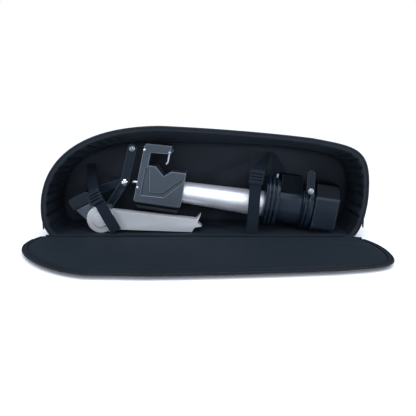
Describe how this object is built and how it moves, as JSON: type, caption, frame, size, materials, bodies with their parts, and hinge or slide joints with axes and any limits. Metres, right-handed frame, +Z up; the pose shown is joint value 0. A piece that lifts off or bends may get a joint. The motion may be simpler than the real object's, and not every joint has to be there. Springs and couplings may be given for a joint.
{
  "type": "telescope carry case",
  "caption": "Padded D-shaped zip carry case standing on its hinge side with the lid let down, a tube-and-saddle instrument and a folding arm strapped inside.",
  "frame": {"origin": "centre of the flat base on the floor, midway between rim and back", "axes": "+X along the length to the small end, +Y from the rim to the back, +Z up; the lid lies on the floor towards -Y"},
  "size_m": [0.9065, 0.4734, 0.3085],
  "materials": {
    "shell_nylon": "woven ballistic nylon, matt",
    "lining_nylon": "smooth coated nylon taffeta lining",
    "webbing": "woven polypropylene webbing",
    "binding": "woven edge binding tape",
    "foam": "closed-cell foam sheet",
    "stiffener": "extruded board",
    "zip_plastic": "coiled nylon zip teeth",
    "zip_metal": "black painted die casting",
    "buckle_plastic": "moulded acetal",
    "ring_steel": "nickel-plated wire",
    "graphite_casting": "dark satin painted casting",
    "black_casting": "gloss black painted casting",
    "bright_tube": "satin anodised aluminium",
    "silver_casting": "silver painted casting",
    "bright_steel": "polished steel",
    "gloss_black": "gloss black moulding"
  },
  "bodies": {
    "case": {"side_wall": "shell_nylon", "base_wall": "shell_nylon", "base_lining": "lining_nylon", "back_panel": "shell_nylon", "back_board": "stiffener", "back_lining": "lining_nylon", "wall_lining": "lining_nylon", "rim_binding": "binding", "back_piping": "binding", "rim_zip_tape": "binding", "rim_zip_coil": "zip_plastic", "hinge_strip": "shell_nylon", "zip_ends": "binding", "left_strap_upper": "webbing", "left_strap_lower": "webbing", "right_strap_front": "webbing", "right_strap_upper": "webbing", "right_strap_rear": "webbing", "handle_tabs": "webbing", "saddle_body": "graphite_casting", "saddle_base": "black_casting", "saddle_pin": "bright_steel", "saddle_screws": "bright_steel", "pier_tube": "bright_tube", "drive_flange": "gloss_black", "drive_body": "gloss_black", "drive_box": "gloss_black", "drive_ring": "gloss_black", "drive_cap": "gloss_black", "drive_screws": "bright_steel", "hub_housing": "silver_casting", "hub_cap": "silver_casting", "arm_cover": "silver_casting", "arm_core": "black_casting", "arm_collar": "graphite_casting", "arm_foot": "gloss_black", "brace_link": "black_casting", "brace_lower": "black_casting", "brace_bolt": "bright_steel", "brace_lug": "graphite_casting"},
    "lid": {"lid_shell": "shell_nylon", "lid_foam": "foam", "lid_lining": "lining_nylon", "lid_hinge_roll": "binding", "lid_piping": "binding", "lid_zip_tape": "binding", "lid_zip_coil": "zip_plastic"},
    "carry_handle": {"handle_rings": "ring_steel", "handle_strap": "webbing", "handle_grip": "webbing"},
    "slider_left": {"zip_slider_left": "zip_metal"},
    "pull_left": {"zip_pull_left": "zip_metal"},
    "slider_right": {"zip_slider_right": "zip_metal"},
    "pull_right": {"zip_pull_right": "zip_metal"},
    "adjuster_left": {"left_adjuster": "buckle_plastic"},
    "adjuster_right": {"right_adjuster": "buckle_plastic"},
    "latch": {"hook_latch": "bright_steel"},
    "brace": {"brace_upper": "black_casting", "brace_top_screw": "bright_steel"},
    "lever": {"drive_lever": "gloss_black"}
  },
  "joints": [
    {"name": "lid_hinge", "type": "hinge", "parent": "case", "child": "lid", "pos_m": [0, -0.0955, 0.001], "axis": [-1, 0, 0], "range_deg": [0, 90]},
    {"name": "handle_swing", "type": "hinge", "parent": "case", "child": "carry_handle", "pos_m": [-0.01981, 0.00919, 0.28976], "axis": [0.9993, 0, -0.0366], "range_deg": [0, 110]},
    {"name": "zip_slide_left", "type": "slide", "parent": "case", "child": "slider_left", "axis": [0, 0, 1], "range_m": [0, 0.018]},
    {"name": "zip_pull_swing_left", "type": "hinge", "parent": "slider_left", "child": "pull_left", "pos_m": [-0.4626, -0.053, 0.056], "axis": [0, 1, 0], "range_deg": [0, 150]},
    {"name": "zip_slide_right", "type": "slide", "parent": "case", "child": "slider_right", "axis": [0.225, 0, 0.9744], "range_m": [0, 0.018]},
    {"name": "zip_pull_swing_right", "type": "hinge", "parent": "slider_right", "child": "pull_right", "pos_m": [0.43521, -0.053, 0.06116], "axis": [0, -1, 0], "range_deg": [0, 150]},
    {"name": "adjuster_slide_left", "type": "slide", "parent": "case", "child": "adjuster_left", "axis": [-0.4289, 0.4067, 0.8066], "range_m": [-0.008, 0.008]},
    {"name": "adjuster_slide_right", "type": "slide", "parent": "case", "child": "adjuster_right", "axis": [0, 0, 1], "range_m": [-0.05, 0.008]},
    {"name": "latch_swing", "type": "hinge", "parent": "case", "child": "latch", "pos_m": [-0.10611, 0, 0.23522], "axis": [0, -1, 0], "range_deg": [0, 70]},
    {"name": "brace_fold", "type": "hinge", "parent": "case", "child": "brace", "pos_m": [-0.236, -0.0175, 0.151], "axis": [0, -1, 0], "range_deg": [-8, 45]},
    {"name": "lever_swing", "type": "hinge", "parent": "case", "child": "lever", "pos_m": [0.28002, -0.068, 0.13302], "axis": [0, 1, 0], "range_deg": [-35, 30]}
  ]
}
